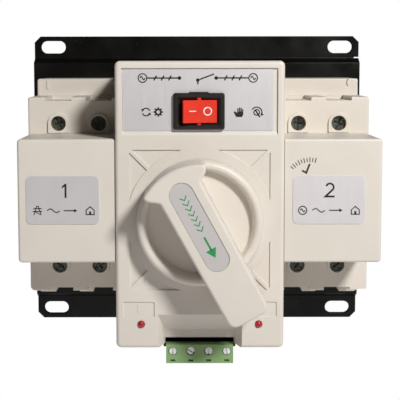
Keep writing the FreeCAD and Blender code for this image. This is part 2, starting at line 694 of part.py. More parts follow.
def front_cover():
    """Front shell of the centre box."""
    outer = soft_block(-BOX_HALF, BOX_HALF, BOX_SPLIT, BOX_FRONT, BOX_BOTTOM, BOX_TOP, BOX_EDGE, 1.6)
    face_back = BOX_FRONT - BOX_WALL
    cavity = block(-BOX_HALF + BOX_WALL, BOX_HALF - BOX_WALL, BOX_SPLIT - 1, face_back,
                   BOX_BOTTOM + BOX_WALL, BOX_TOP - BOX_WALL)
    gap = block(-SCOOP_HALF_BACK, SCOOP_HALF_BACK, HEADER_FRONT, SCOOP_BACK + 1,
                BOX_BOTTOM - 1, SCOOP_WALL_BOTTOM)
    body = cut(outer, [scoop(0), cavity.cut(scoop(SCOOP_WALL)), gap])
    added = box_posts(BOX_SPLIT, BOARD_BACK, POST_R) + post_webs(BOX_SPLIT, BOARD_BACK)
    added += [rod(x, z, MECH_POST_R, MECH_FRONT, face_back + 0.5) for x, z in MECH_POSTS]
    added.append(rod(0, KNOB_Z, BUSH_FLANGE_R + 1.5, 87.0, face_back + 0.5))
    cuts = corner_recesses() + marker_recesses() + [label_recess()]
    cuts += box_posts(BOX_SPLIT - 1, 58.0, COVER_SCREW_R)
    cuts += [rod(x, z, MECH_SCREW_R, MECH_FRONT - 1, MECH_SCREW_DEPTH) for x, z in MECH_POSTS]
    cuts.append(rod(0, KNOB_Z, BUSH_R, 80.0, BOX_FRONT + 1))
    cuts.append(block(ROCKER_X - SWITCH_HOLE_X, ROCKER_X + SWITCH_HOLE_X, 80.0, BOX_FRONT + 1,
                      ROCKER_Z - SWITCH_HOLE_Z, ROCKER_Z + SWITCH_HOLE_Z))
    cuts += [rod(sx * LED_X, LED_Z, LED_R + 0.1, 80.0, BOX_FRONT + 1) for sx in (-1, 1)]
    cuts.append(block(-HEADER_HALF - 0.2, HEADER_HALF + 0.2, BOARD_FRONT - 0.4, HEADER_FRONT + 0.1,
                      BOX_BOTTOM - 1, BOX_BOTTOM + BOX_WALL + 0.4))
    for sx in (-1, 1):
        x0, x1 = sorted((sx * (BOX_HALF - BOX_WALL - 1), sx * (BOX_HALF + 1)))
        cuts.append(block(x0, x1, FORK_BACK - 0.6, FORK_FRONT + 0.6,
                          -RACK_HALF_TRAVEL - FORK_HALF - 0.6, RACK_HALF_TRAVEL + FORK_HALF + 0.6))
    return cut(fuse([body] + added), cuts)


def cover_screws():
    """Four long screws from the back of the base into the front cover's posts."""
    heads = box_posts(COVER_SCREW_SEAT - 2.0, COVER_SCREW_SEAT, COVER_SCREW_HEAD_R)
    shanks = box_posts(COVER_SCREW_SEAT, 57.0, COVER_SCREW_R)
    return group([fuse([head, shank]) for head, shank in zip(heads, shanks)])


def panel_label():
    """Label in the upper recess, cut out for the rocker switch."""
    plate = label_plate(-RECESS_HALF + 0.3, PANEL_LABEL_RIGHT, RECESS_BOTTOM + 0.3, RECESS_TOP - 0.4,
                        BOX_FRONT - RECESS_DEPTH, 0.8)
    return plate.cut(block(ROCKER_X - SWITCH_HOLE_X, ROCKER_X + SWITCH_HOLE_X, 80.0, BOX_FRONT + 1,
                           ROCKER_Z - SWITCH_HOLE_Z, ROCKER_Z + SWITCH_HOLE_Z))


# Rocker switch


def rectangle(half_x, half_z, depth):
    """Closed rectangle round the depth axis."""
    corners = [(-half_x, -half_z), (half_x, -half_z), (half_x, half_z), (-half_x, half_z)]
    return Part.makePolygon([vector(x, depth, z) for x, z in corners + corners[:1]])


def rocker_housing():
    """Black switch body with its bezel, hollow for the rocker."""
    half_x = BEZEL_WIDTH / 2
    half_z = BEZEL_HEIGHT / 2
    bezel = block(-half_x, half_x, BEZEL_BACK, BEZEL_FRONT, -half_z, half_z)
    bezel = bezel.makeFillet(0.9, edges_along_y(bezel))
    bezel = bezel.makeChamfer(0.7, edges_at_depth(bezel, BEZEL_FRONT))
    catch = block(-BEZEL_CATCH_HALF, BEZEL_CATCH_HALF, BEZEL_BACK, BEZEL_BACK + 1.4,
                  half_z - 0.3, half_z + 0.45)
    body = block(-SWITCH_HOLE_X + 0.1, SWITCH_HOLE_X - 0.1, SWITCH_BACK, BEZEL_BACK,
                 -SWITCH_HOLE_Z + 0.1, SWITCH_HOLE_Z - 0.1)
    mouth = block(-OPENING_HALF_X, OPENING_HALF_X, SWITCH_BACK + 4, BEZEL_FRONT + 1,
                  -OPENING_HALF_Z, OPENING_HALF_Z)
    slope = Part.makeLoft([rectangle(OPENING_HALF_X + 1.4, OPENING_HALF_Z + 1.1, BEZEL_FRONT + 0.1),
                           rectangle(OPENING_HALF_X, OPENING_HALF_Z, BEZEL_FRONT - 1.1)], True)
    pin_hole = rod_z(0, ROCKER_PIVOT, ROCKER_PIN_R + RUNNING, -OPENING_HALF_Z - 0.9, OPENING_HALF_Z + 0.9)
    return moved(cut(fuse([bezel, catch, body]), [mouth, slope, pin_hole]), ROCKER_X, ROCKER_Z)


def rocker():
    """Red rocker with a dished front; at rest its right end is pressed in."""
    p = ROCKER_PIVOT
    w = ROCKER_HALF_X
    outline = [(-w, p + 2.2), (-w * 0.45, p + 1.75), (0, p + 1.6), (w * 0.45, p + 1.75), (w, p + 2.2),
               (w, p - 0.5), (w * 0.7, p - 4.5), (-w * 0.7, p - 4.5), (-w, p - 0.5)]
    body = prism_z(outline, -ROCKER_HALF_Z, ROCKER_HALF_Z)
    pin = rod_z(0, p, ROCKER_PIN_R, -OPENING_HALF_Z - 0.8, OPENING_HALF_Z + 0.8)
    solid = fuse([body, pin])
    solid.rotate(vector(0, p, 0), FreeCAD.Vector(0, 0, 1), ROCKER_TILT)
    return moved(solid, ROCKER_X, ROCKER_Z)


def rocker_terminals():
    """Three brass blades at the back of the switch."""
    return group([block(ROCKER_X + x - 0.4, ROCKER_X + x + 0.4, 70.5, SWITCH_BACK,
                        ROCKER_Z - 2.4, ROCKER_Z + 2.4) for x in (-6.0, 0.0, 6.0)])


def indicator(sx):
    """Small lamp: domed body, flange behind the panel and two leads back to the board."""
    x = sx * LED_X
    dome = Part.makeSphere(LED_R, vector(x, BOX_FRONT - 0.3, LED_Z))
    body = rod(x, LED_Z, LED_R, 87.0, BOX_FRONT - 0.3)
    flange = rod(x, LED_Z, LED_R + 0.4, 87.0, 88.0)
    leads = [block(x + s * 0.75 - 0.25, x + s * 0.75 + 0.25, BOARD_FRONT, 87.2, LED_Z - 0.25, LED_Z + 0.25)
             for s in (-1, 1)]
    return fuse([dome, body, flange] + leads)


# Handle: drawn with its tip pointing down, then turned


def bar_outline():
    """Front view of the grip: a head that follows the rim, and a bar that reaches past it."""
    side = [(TIP_HALF, -BAR_REACH)] + [(half, up) for up, half in FLARE]
    points = [vector(x, BAR_UNDER, z) for x, z in side]
    left = [vector(-x, BAR_UNDER, z) for x, z in reversed(side)]
    top = vector(0, BAR_UNDER, math.hypot(FLARE[-1][0], FLARE[-1][1]))
    edges = [Part.LineSegment(a, b).toShape() for a, b in zip(points, points[1:])]
    edges.append(Part.Arc(points[-1], top, left[0]).toShape())
    edges += [Part.LineSegment(a, b).toShape() for a, b in zip(left, left[1:])]
    edges.append(Part.LineSegment(left[-1], points[0]).toShape())
    return Part.Face(Part.Wire(edges))


def handle():
    """Round knob with a raised rim and a grip bar across it."""
    rim = 1.9
    inner = KNOB_R - 2 * rim
    outline = [(0, KNOB_BACK), (KNOB_R, KNOB_BACK), (KNOB_R, KNOB_CREST - rim),
               (inner, KNOB_CREST - rim), (inner - 0.7, KNOB_FLOOR), (0, KNOB_FLOOR)]
    corners = [vector(x, d, 0) for x, d in outline]
    disc = Part.Face(Part.makePolygon(corners + corners[:1]))
    disc = disc.revolve(FreeCAD.Vector(0, 0, 0), FreeCAD.Vector(0, 1, 0), 360)
    crest = Part.makeTorus(KNOB_R - rim, rim, vector(0, KNOB_CREST - rim, 0), FreeCAD.Vector(0, 1, 0))
    grip = bar_outline().extrude(FreeCAD.Vector(0, BAR_UNDER - BAR_FRONT, 0))
    tip_edges = [e for e in edges_along_y(grip) if e.Vertexes[0].Z < 0]
    grip = grip.makeFillet(BAR_CORNER, tip_edges)
    flare_edges = [e for e in edges_along_y(grip) if 16 < e.Vertexes[0].Z < 19]
    grip = grip.makeFillet(1.5, flare_edges)
    head_edges = [e for e in edges_along_y(grip) if e.Vertexes[0].Z > 20]
    grip = grip.makeFillet(1.4, head_edges)
    grip = grip.makeFillet(BAR_EDGE, edges_at_depth(grip, BAR_FRONT))
    inside_rim = Part.makeCylinder(KNOB_R - rim, BAR_FRONT - KNOB_FLOOR, vector(0, KNOB_FLOOR - 1, 0),
                                   FreeCAD.Vector(0, -1, 0))
    web = bar_outline()
    web.translate(FreeCAD.Vector(0, BAR_UNDER - KNOB_BACK - 1, 0))
    web = web.extrude(FreeCAD.Vector(0, -6, 0)).common(inside_rim)
    solid = fuse([disc, crest, grip, web])
    sunk = stadium(HANDLE_LABEL_LENGTH, HANDLE_LABEL_WIDTH, BAR_FRONT - HANDLE_LABEL_DEPTH, BAR_FRONT + 1)
    sunk.rotate(FreeCAD.Vector(0, 0, 0), FreeCAD.Vector(0, 1, 0), 90)
    sunk.translate(FreeCAD.Vector(0, 0, HANDLE_LABEL_OFFSET))
    bores = [sunk, rod(0, 0, SHAFT_R, KNOB_BACK - 1, SHAFT_FRONT),
             rod(0, 0, HANDLE_SCREW_R + 0.1, SHAFT_FRONT - 1, HANDLE_SCREW_SEAT + 1),
             rod(0, 0, HANDLE_SCREW_HEAD_R + 0.1, HANDLE_SCREW_SEAT, BAR_FRONT)]
    return at_handle_angle(cut(solid, bores))


def at_handle_angle(shape):
    """Carry a part of the handle from the drawing position to its place at rest."""
    return turned(moved(shape, 0, KNOB_Z), 0, KNOB_Z, -HANDLE_ANGLE)


def handle_label():
    """Stadium-shaped label in the grip."""
    floor = BAR_FRONT - HANDLE_LABEL_DEPTH
    plate = stadium(HANDLE_LABEL_LENGTH - 0.4, HANDLE_LABEL_WIDTH - 0.4, floor, floor + LABEL_THICK)
    plate.rotate(FreeCAD.Vector(0, 0, 0), FreeCAD.Vector(0, 1, 0), 90)
    return at_handle_angle(moved(plate, 0, HANDLE_LABEL_OFFSET))


def handle_shaft():
    """Steel shaft from the handle to the bush in the mechanism plate."""
    shaft = rod(0, KNOB_Z, SHAFT_R, MECH_BACK - 1.5, SHAFT_FRONT)
    return shaft.cut(rod(0, KNOB_Z, HANDLE_SCREW_R, 94.0, SHAFT_FRONT + 1))


def handle_screw():
    """Screw under the grip's label that holds the handle on its shaft."""
    head = rod(0, KNOB_Z, HANDLE_SCREW_HEAD_R, HANDLE_SCREW_SEAT, HANDLE_SCREW_SEAT + 2.4)
    shank = rod(0, KNOB_Z, HANDLE_SCREW_R, 95.0, HANDLE_SCREW_SEAT)
    slot = block(-3.5, 3.5, HANDLE_SCREW_SEAT + 1.5, HANDLE_SCREW_SEAT + 3, KNOB_Z - 0.5, KNOB_Z + 0.5)
    return fuse([head, shank]).cut(slot)


def front_bush():
    """Flanged bush that carries the handle's shaft in the front cover."""
    sleeve = rod(0, KNOB_Z, BUSH_R, BUSH_BACK, BOX_FRONT)
    flange = rod(0, KNOB_Z, BUSH_FLANGE_R, BUSH_BACK - 1, 87.0)
    return fuse([sleeve, flange]).cut(rod(0, KNOB_Z, SHAFT_R + RUNNING, 80, BOX_FRONT + 1))


def rear_bush():
    """Flanged bush in the mechanism plate for the shaft's inner end."""
    sleeve = rod(0, KNOB_Z, BUSH_R, MECH_BACK, MECH_FRONT)
    flange = rod(0, KNOB_Z, BUSH_FLANGE_R, MECH_FRONT, MECH_FRONT + 1)
    return fuse([sleeve, flange]).cut(rod(0, KNOB_Z, SHAFT_R + RUNNING, 60, MECH_FRONT + 2))


# Gears and racks

def involute_point(base, radius, start):
    """Point at a radius on an involute that leaves the base circle at a start angle."""
    turn = math.sqrt(max((radius / base) ** 2 - 1, 0))
    angle = start + turn - math.atan(turn)
    return radius * math.cos(angle), radius * math.sin(angle)


def tooth_flank(teeth):
    """Lower flank of the tooth centred on +X, from root to tip."""
    pitch = MODULE * teeth / 2
    base = pitch * math.cos(PRESSURE_ANGLE)
    half_tooth = (math.pi * MODULE / 4 - TOOTH_GAP) / pitch
    start = -half_tooth - (math.tan(PRESSURE_ANGLE) - PRESSURE_ANGLE)
    root = pitch - 1.25 * MODULE
    tip = pitch + 0.9 * MODULE
    low = max(base, root)
    steps = 5
    flank = [involute_point(base, low + (tip - low) * i / steps, start) for i in range(steps + 1)]
    if root < base:
        flank.insert(0, (root * math.cos(start), root * math.sin(start)))
    return flank


def gear_blank(teeth, x, z, phase):
    """Toothed wheel between the gear's faces, with a tooth centred at the phase angle."""
    lower = tooth_flank(teeth)
    tooth = lower + [(px, -pz) for px, pz in reversed(lower)]
    points = []
    for index in range(teeth):
        a = phase + 2 * math.pi * index / teeth
        points += [(x + px * math.cos(a) - pz * math.sin(a), z + px * math.sin(a) + pz * math.cos(a))
                   for px, pz in tooth]
    return prism(points, GEAR_BACK, GEAR_FRONT)


def drive_gear():
    """Gear on the handle's shaft, between the two racks."""
    hub = rod(0, KNOB_Z, 8.0, GEAR_FRONT, GEAR_FRONT + 5.0)
    wheel = fuse([gear_blank(GEAR_TEETH, 0, KNOB_Z, 0), hub])
    return wheel.cut(rod(0, KNOB_Z, SHAFT_R, GEAR_BACK - 1, GEAR_FRONT + 6))


def motor_pinion():
    """Pinion on the motor's shaft, in mesh with the top of the drive gear."""
    phase = -math.pi / 2 + math.pi / PINION_TEETH
    wheel = gear_blank(PINION_TEETH, 0, PINION_Z, phase)
    return wheel.cut(rod(0, PINION_Z, MOTOR_SHAFT_R, GEAR_BACK - 1, GEAR_FRONT + 1))


def motor_shaft():
    """Output shaft of the gear motor; it turns with the pinion."""
    return rod(0, PINION_Z, MOTOR_SHAFT_R, 58.0, GEAR_FRONT + 1.0)


def gear_motor():
    """Motor can and gearbox behind the mechanism plate."""
    can = rod(0, PINION_Z, 12.0, 22.0, 46.0)
    gearbox = rod(0, PINION_Z, 12.6, 46.0, MECH_BACK)
    nose = rod(0, PINION_Z, 4.0, MECH_BACK, MECH_FRONT + 1)
    return fuse([can, gearbox, nose]).cut(rod(0, PINION_Z, MOTOR_SHAFT_R + RUNNING, 57.0, MECH_FRONT + 2))


def rack(raised):
    """Vertical rack on the right of the gear, with the fork that holds the toggle's tie rod."""
    shift = RACK_HALF_TRAVEL * 2 if raised else 0.0
    low = RACK_LOW + shift
    high = RACK_HIGH + shift
    pitch = math.pi * MODULE
    root_x = GEAR_R + 1.25 * MODULE
    bar = block(root_x, RACK_OUT, GEAR_BACK, GEAR_FRONT, low, high)
    lean = math.tan(PRESSURE_ANGLE)
    half_tip = pitch / 4 - TOOTH_GAP - 0.9 * MODULE * lean
    half_root = pitch / 4 - TOOTH_GAP + 1.25 * MODULE * lean
    tip_x = GEAR_R - 0.9 * MODULE
    first = math.ceil((low - KNOB_Z) / pitch)
    last = math.floor((high - KNOB_Z) / pitch)
    teeth = []
    for index in range(first, last):
        z = KNOB_Z + (index + 0.5) * pitch
        outline = [(root_x + 0.1, z - half_root), (root_x, z - half_root), (tip_x, z - half_tip),
                   (tip_x, z + half_tip), (root_x, z + half_root), (root_x + 0.1, z + half_root)]
        teeth.append(prism(outline, GEAR_BACK, GEAR_FRONT))
    centre = RACK_HALF_TRAVEL if raised else -RACK_HALF_TRAVEL
    arm = block(RACK_OUT - 0.5, FORK_IN, GEAR_BACK, GEAR_FRONT, centre - 4, centre + 4)
    fork = block(FORK_IN - 0.1, FORK_OUT, FORK_BACK, FORK_FRONT, centre - FORK_HALF, centre + FORK_HALF)
    reach = TOGGLE_DEPTH + TIE_RADIUS
    back = TOGGLE_DEPTH + TIE_RADIUS * math.cos(math.radians(TOGGLE_SWING))
    half_slot = TIE_ROD_R + FORK_CLEAR
    slot = block(FORK_IN - 1, FORK_OUT + 1, back - half_slot, reach + half_slot,
                 centre - half_slot, centre + half_slot)
    return cut(fuse([bar, arm, fork] + teeth), [slot])


def rack_guides():
    """Four hooked blocks on the mechanism plate that hold the racks in line."""
    blocks = []
    for z0, z1 in GUIDE_SPANS:
        upright = block(GUIDE_IN, GUIDE_OUT, MECH_FRONT, GEAR_FRONT + 1.8, z0, z1)
        lip = block(GUIDE_IN - 2.6, GUIDE_IN + 0.1, GEAR_FRONT + 0.25, GEAR_FRONT + 1.8, z0, z1)
        shelf = block(GEAR_R + 1.6, GUIDE_IN + 0.1, MECH_FRONT, GEAR_BACK - 0.2, z0, z1)
        blocks.append(fuse([upright, lip, shelf]))
    return group(blocks + [mirrored(item) for item in blocks])


def mechanism_plate():
    """Steel plate that carries the rear bush, the motor, the rack guides and the switches."""
    plate = block(-31.6, 31.6, MECH_BACK, MECH_FRONT, -26.5, 49.0)
    plate = plate.makeFillet(2.0, edges_along_y(plate))
    cuts = [rod(x, z, MECH_SCREW_R, MECH_BACK - 1, MECH_FRONT + 1) for x, z in MECH_POSTS]
    cuts.append(rod(0, KNOB_Z, BUSH_R, MECH_BACK - 1, MECH_FRONT + 1))
    cuts.append(rod(0, PINION_Z, 4.0, MECH_BACK - 1, MECH_FRONT + 1))
    return cut(plate, cuts)


def mechanism_screws():
    """Four screws that hold the mechanism plate to the front cover's posts."""
    screws = []
    for x, z in MECH_POSTS:
        head = rod(x, z, 2.4, MECH_BACK - 1.8, MECH_BACK)
        screws.append(fuse([head, rod(x, z, MECH_SCREW_R, MECH_BACK, MECH_SCREW_DEPTH - 1)]))
    return group(screws)


def limit_switches():
    """Two small switches that the tops of the racks press at the end of their travel."""
    top = RACK_HIGH + 2 * RACK_HALF_TRAVEL
    switches = []
    for sx in (-1, 1):
        x0, x1 = sorted((sx * 12.9, sx * 20.7))
        body = block(x0, x1, MECH_FRONT, 76.5, top + 1.5, top + 13.5)
        plunger = rod_z(sx * 17.2, 72.5, 1.0, top + 0.4, top + 2.0)
        switches.append(fuse([body, plunger]))
    return group(switches)


# Control board, header and plug

def control_board():
    """Circuit board across the bottom of the box, screwed to the lower posts."""
    board = block(-31.8, 31.8, BOARD_BACK, BOARD_FRONT, -56.2, -30.0)
    return board.cut(group([rod(sx * POST_X, -POST_Z, 1.5, BOARD_BACK - 1, BOARD_FRONT + 1)
                            for sx in (-1, 1)]))


def board_relays():
    """Relays and the supply capacitor on the rear of the board."""
    relays = []
    for x in (-15.5, 5.0):
        relay = block(x - 7.6, x + 7.6, BOARD_BACK - 15.0, BOARD_BACK, -51.5, -32.5)
        relays.append(relay.makeFillet(0.6, edges_along_y(relay)))
    relays.append(rod(19.0, -38.5, 5.0, BOARD_BACK - 12.0, BOARD_BACK))
    return group(relays)


def terminal_header():
    """Black header on the board, open downwards to take the plug, with a lip under the box."""
    shell = block(-HEADER_HALF, HEADER_HALF, BOARD_FRONT, HEADER_FRONT, HEADER_BOTTOM, -48.0)
    pocket = block(-HEADER_HALF + HEADER_WALL, HEADER_HALF - HEADER_WALL, BOARD_FRONT + HEADER_WALL,
                   HEADER_FRONT - HEADER_WALL, HEADER_BOTTOM - 1, -50.0)
    lip = block(-HEADER_HALF, HEADER_HALF, HEADER_FRONT - HEADER_WALL, HEADER_LIP_FRONT, HEADER_BOTTOM,
                HEADER_LIP_TOP)
    slots = [rod_z((i - 1.5) * PLUG_PITCH, 69.2, 0.5, -52.0, -47.0) for i in range(4)]
    return cut(fuse([shell, lip]), [pocket] + slots)


def header_pins():
    """Four contact pins that stand down into the header's pocket."""
    return group([rod_z((i - 1.5) * PLUG_PITCH, 69.2, 0.5, -59.0, -48.0) for i in range(4)])


def terminal_plug():
    """Green four-way plug: screw holes in front, wire holes below and a tongue into the header."""
    lower = block(-PLUG_HALF, PLUG_HALF, TONGUE_BACK - 0.6, PLUG_FRONT, PLUG_BOTTOM, PLUG_STEP)
    upper = block(-PLUG_HALF, PLUG_HALF, HEADER_LIP_FRONT + 0.4, PLUG_FRONT, PLUG_STEP, PLUG_TOP)
    tongue = block(-TONGUE_HALF, TONGUE_HALF, TONGUE_BACK, TONGUE_FRONT, PLUG_STEP - 1, TONGUE_TOP)
    cuts = []
    for i in range(4):
        x = (i - 1.5) * PLUG_PITCH
        cuts.append(rod(x, PLUG_SCREW_Z, PLUG_HOLE_R, 79.0, PLUG_FRONT + 1))
        cuts.append(rod_z(x, 69.2, 0.7, -60.5, TONGUE_TOP + 1))
        cuts.append(block(x - PLUG_ENTRY_HALF, x + PLUG_ENTRY_HALF, 76.0, 80.4, PLUG_BOTTOM - 1, -61.0))
        cuts.append(block(x - 1.0, x + 1.0, PLUG_FRONT - 1.2, PLUG_FRONT + 1, -67.3, -66.4))
    return cut(fuse([lower, upper, tongue]), cuts)


def plug_screws():
    """Slotted clamp screws of the plug."""
    screws = []
    for i in range(4):
        x = (i - 1.5) * PLUG_PITCH
        head = rod(x, PLUG_SCREW_Z + 0.12, PLUG_HEAD_R, 82.5, PLUG_FRONT - 0.4)
        shank = rod(x, PLUG_SCREW_Z, 1.2, 81.6, 82.5)
        slot = block(x - 2, x + 2, PLUG_FRONT - 1.3, PLUG_FRONT + 1, PLUG_SCREW_Z - 0.3, PLUG_SCREW_Z + 0.3)
        screws.append(turned(fuse([head, shank]).cut(slot), x, PLUG_SCREW_Z, (90, 28, 90, 84)[i]))
    return group(screws)


def side_nodes(side, raised):
    """Every piece of one breaker unit and its cover, drawn on the right and mirrored for the left."""
    place = mirrored if side == "left" else (lambda shape: shape)
    trim = left_only if side == "left" else right_only
    drawn = {
        "breaker_base": breaker_base(),
        "breaker_cover": breaker_cover(),
        "terminal_screws": terminal_screws(),
        "terminal_clamps": terminal_clamps(),
        "busbars": busbars(),
        "trip_coils": trip_coils(),
        "arc_chutes": arc_chutes(),
        "toggle": toggle(raised),
        "tie_rod": tie_rod(raised),
        "contact_arms": contact_arms(raised),
        "toggle_pin": toggle_pin(),
        "side_cover": side_cover(),
        "rack": rack(raised),
    }
    nodes = {side + "_" + name: place(shape) for name, shape in drawn.items()}
    nodes[side + "_breaker_cover"] = trim(nodes[side + "_breaker_cover"])
    nodes[side + "_breaker_base"] = base_mark(side, nodes[side + "_breaker_base"])
    x0, x1 = LEFT_LABEL_X if side == "left" else RIGHT_LABEL_X
    nodes[side + "_label"] = label_plate(x0, x1, *SIDE_LABEL_Z, SIDE_FRONT, SIDE_LABEL_CORNER)
    return nodes


def centre_nodes():
    """Every piece of the plate, the centre box, the handle and its drive."""
    return {
        "base_plate": base_plate(),
        "base_plate_screws": base_plate_screws(),
        "central_base": central_base(),
        "front_cover": front_cover(),
        "cover_screws": cover_screws(),
        "panel_label": panel_label(),
        "rocker_housing": rocker_housing(),
        "rocker": rocker(),
        "rocker_terminals": rocker_terminals(),
        "led_left": indicator(-1),
        "led_right": indicator(1),
        "handle": handle(),
        "handle_label": handle_label(),
        "handle_shaft": handle_shaft(),
        "handle_screw": handle_screw(),
        "front_bush": front_bush(),
        "rear_bush": rear_bush(),
        "drive_gear": drive_gear(),
        "motor_pinion": motor_pinion(),
        "motor_shaft": motor_shaft(),
        "gear_motor": gear_motor(),
        "rack_guides": rack_guides(),
        "mechanism_plate": mechanism_plate(),
        "mechanism_screws": mechanism_screws(),
        "limit_switches": limit_switches(),
        "control_board": control_board(),
        "board_relays": board_relays(),
        "terminal_header": terminal_header(),
        "header_pins": header_pins(),
        "terminal_plug": terminal_plug(),
        "plug_screws": plug_screws(),
    }


def build():
    """Make every node and write one STEP file for each."""
    nodes = centre_nodes()
    nodes.update(side_nodes("left", raised=False))
    nodes.update(side_nodes("right", raised=True))
    os.makedirs("parts", exist_ok=True)
    for name, shape in nodes.items():
        shape.exportStep("parts/" + name + ".step")
        if not shape.isValid():
            print("invalid shape:", name)
    print(len(nodes), "nodes")


build()
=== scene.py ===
import json
import math

import bmesh
import bpy
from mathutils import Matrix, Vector


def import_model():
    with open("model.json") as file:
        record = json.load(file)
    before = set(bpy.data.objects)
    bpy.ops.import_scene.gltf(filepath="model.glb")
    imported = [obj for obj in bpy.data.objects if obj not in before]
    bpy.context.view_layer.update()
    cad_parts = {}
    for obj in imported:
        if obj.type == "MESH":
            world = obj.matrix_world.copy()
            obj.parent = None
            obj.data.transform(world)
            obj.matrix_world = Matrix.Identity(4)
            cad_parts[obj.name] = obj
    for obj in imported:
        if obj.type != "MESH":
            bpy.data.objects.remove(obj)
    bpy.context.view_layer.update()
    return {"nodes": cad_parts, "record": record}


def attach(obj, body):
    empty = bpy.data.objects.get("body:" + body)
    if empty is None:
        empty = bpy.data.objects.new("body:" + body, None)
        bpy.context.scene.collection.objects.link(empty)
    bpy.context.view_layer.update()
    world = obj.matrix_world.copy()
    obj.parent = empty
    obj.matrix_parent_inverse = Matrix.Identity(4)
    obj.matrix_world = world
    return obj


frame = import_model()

# Two-supply transfer switch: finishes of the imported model, printed signs on it, room, light and camera.
# Lengths are in millimetres and become metres in at(). The room's constants and Blender's own
# settings, such as a clipping distance or a subsurface scale, are in metres.
MM = 0.001

# A print is a thin closed plate that stands out of its face and reaches a little below it
RISE = 0.04
SINK = 0.02

# Least cosine that a stroke's mitre follows at a corner, and the range where most noise lies
MITRE_LIMIT = 0.35
NOISE_LOW = 0.3
NOISE_HIGH = 0.7

# Faces of the model that carry print, by their depth in front of the wall, and places on them
PANEL_LABEL_FACE = 90.95
SIDE_LABEL_FACE = 90.05
SIDE_COVER_FACE = 89.8
KNOB_Z = -6.0
HANDLE_ANGLE = math.radians(28.7)
HANDLE_LABEL_FACE = 112.75
ROCKER_X = -0.35
ROCKER_Z = 39.2
MARKER_FACE = 91.1
MARKER_Z = -43.35

# Centres of the signs on the panel label
DIAGRAM_AT = (-0.8, 52.8)
RING_AT = (-22.0, 38.9)
COG_AT = (-17.0, 38.9)
HAND_AT = (16.4, 38.7)
TURN_AT = (23.3, 38.7)

# Side labels: the numeral, and the row of signs below it
NUMERAL_Z = 6.3
NUMERAL_SIZE = 0.79
ROW_Z = -2.0
ROW_ENDS = 10.9
ROW_WAVE_X = -4.3
ROW_ARROW_X = 2.7

# Camera: its place, its angles in degrees, and its lens
CAMERA_PLACE = (-6.435, 458.556, 58.732)
CAMERA_DOWN = 4.364
CAMERA_ROLL = 0.09
SENSOR_WIDTH = 36.0
LENS = 80.8767
SHIFT_X = 0.04
SHIFT_Y = -0.17

# Room, in metres: one round softbox at the upper right, and a floor that sends soft light up
KEY_PLACE = (0.332, -0.634, 0.447)
KEY_AIM = (0.0, -0.06, 0.0)
KEY_SIZE = 0.13
KEY_POWER = 5.95
KEY_COLOUR = (1.0, 0.985, 0.965)
FLOOR_RADIUS = 3.0
FLOOR_HEIGHT = -0.45
FLOOR_GIVES = ((1.0, 0.97, 0.96, 1.0), 0.68)
WORLD_GIVES = ((1.0, 0.98, 0.96, 1.0), 0.03)
PURE_WHITE = ((1.0, 1.0, 1.0, 1.0), 1.0)


def at(x, depth, z):
    """Point in metres from a depth in front of the wall."""
    return Vector((x, -depth, z)) * MM


# Finishes

def tint(colour, factor):
    """Colour made lighter or darker."""
    return tuple(min(1.0, c * factor) for c in colour) + (1.0,)


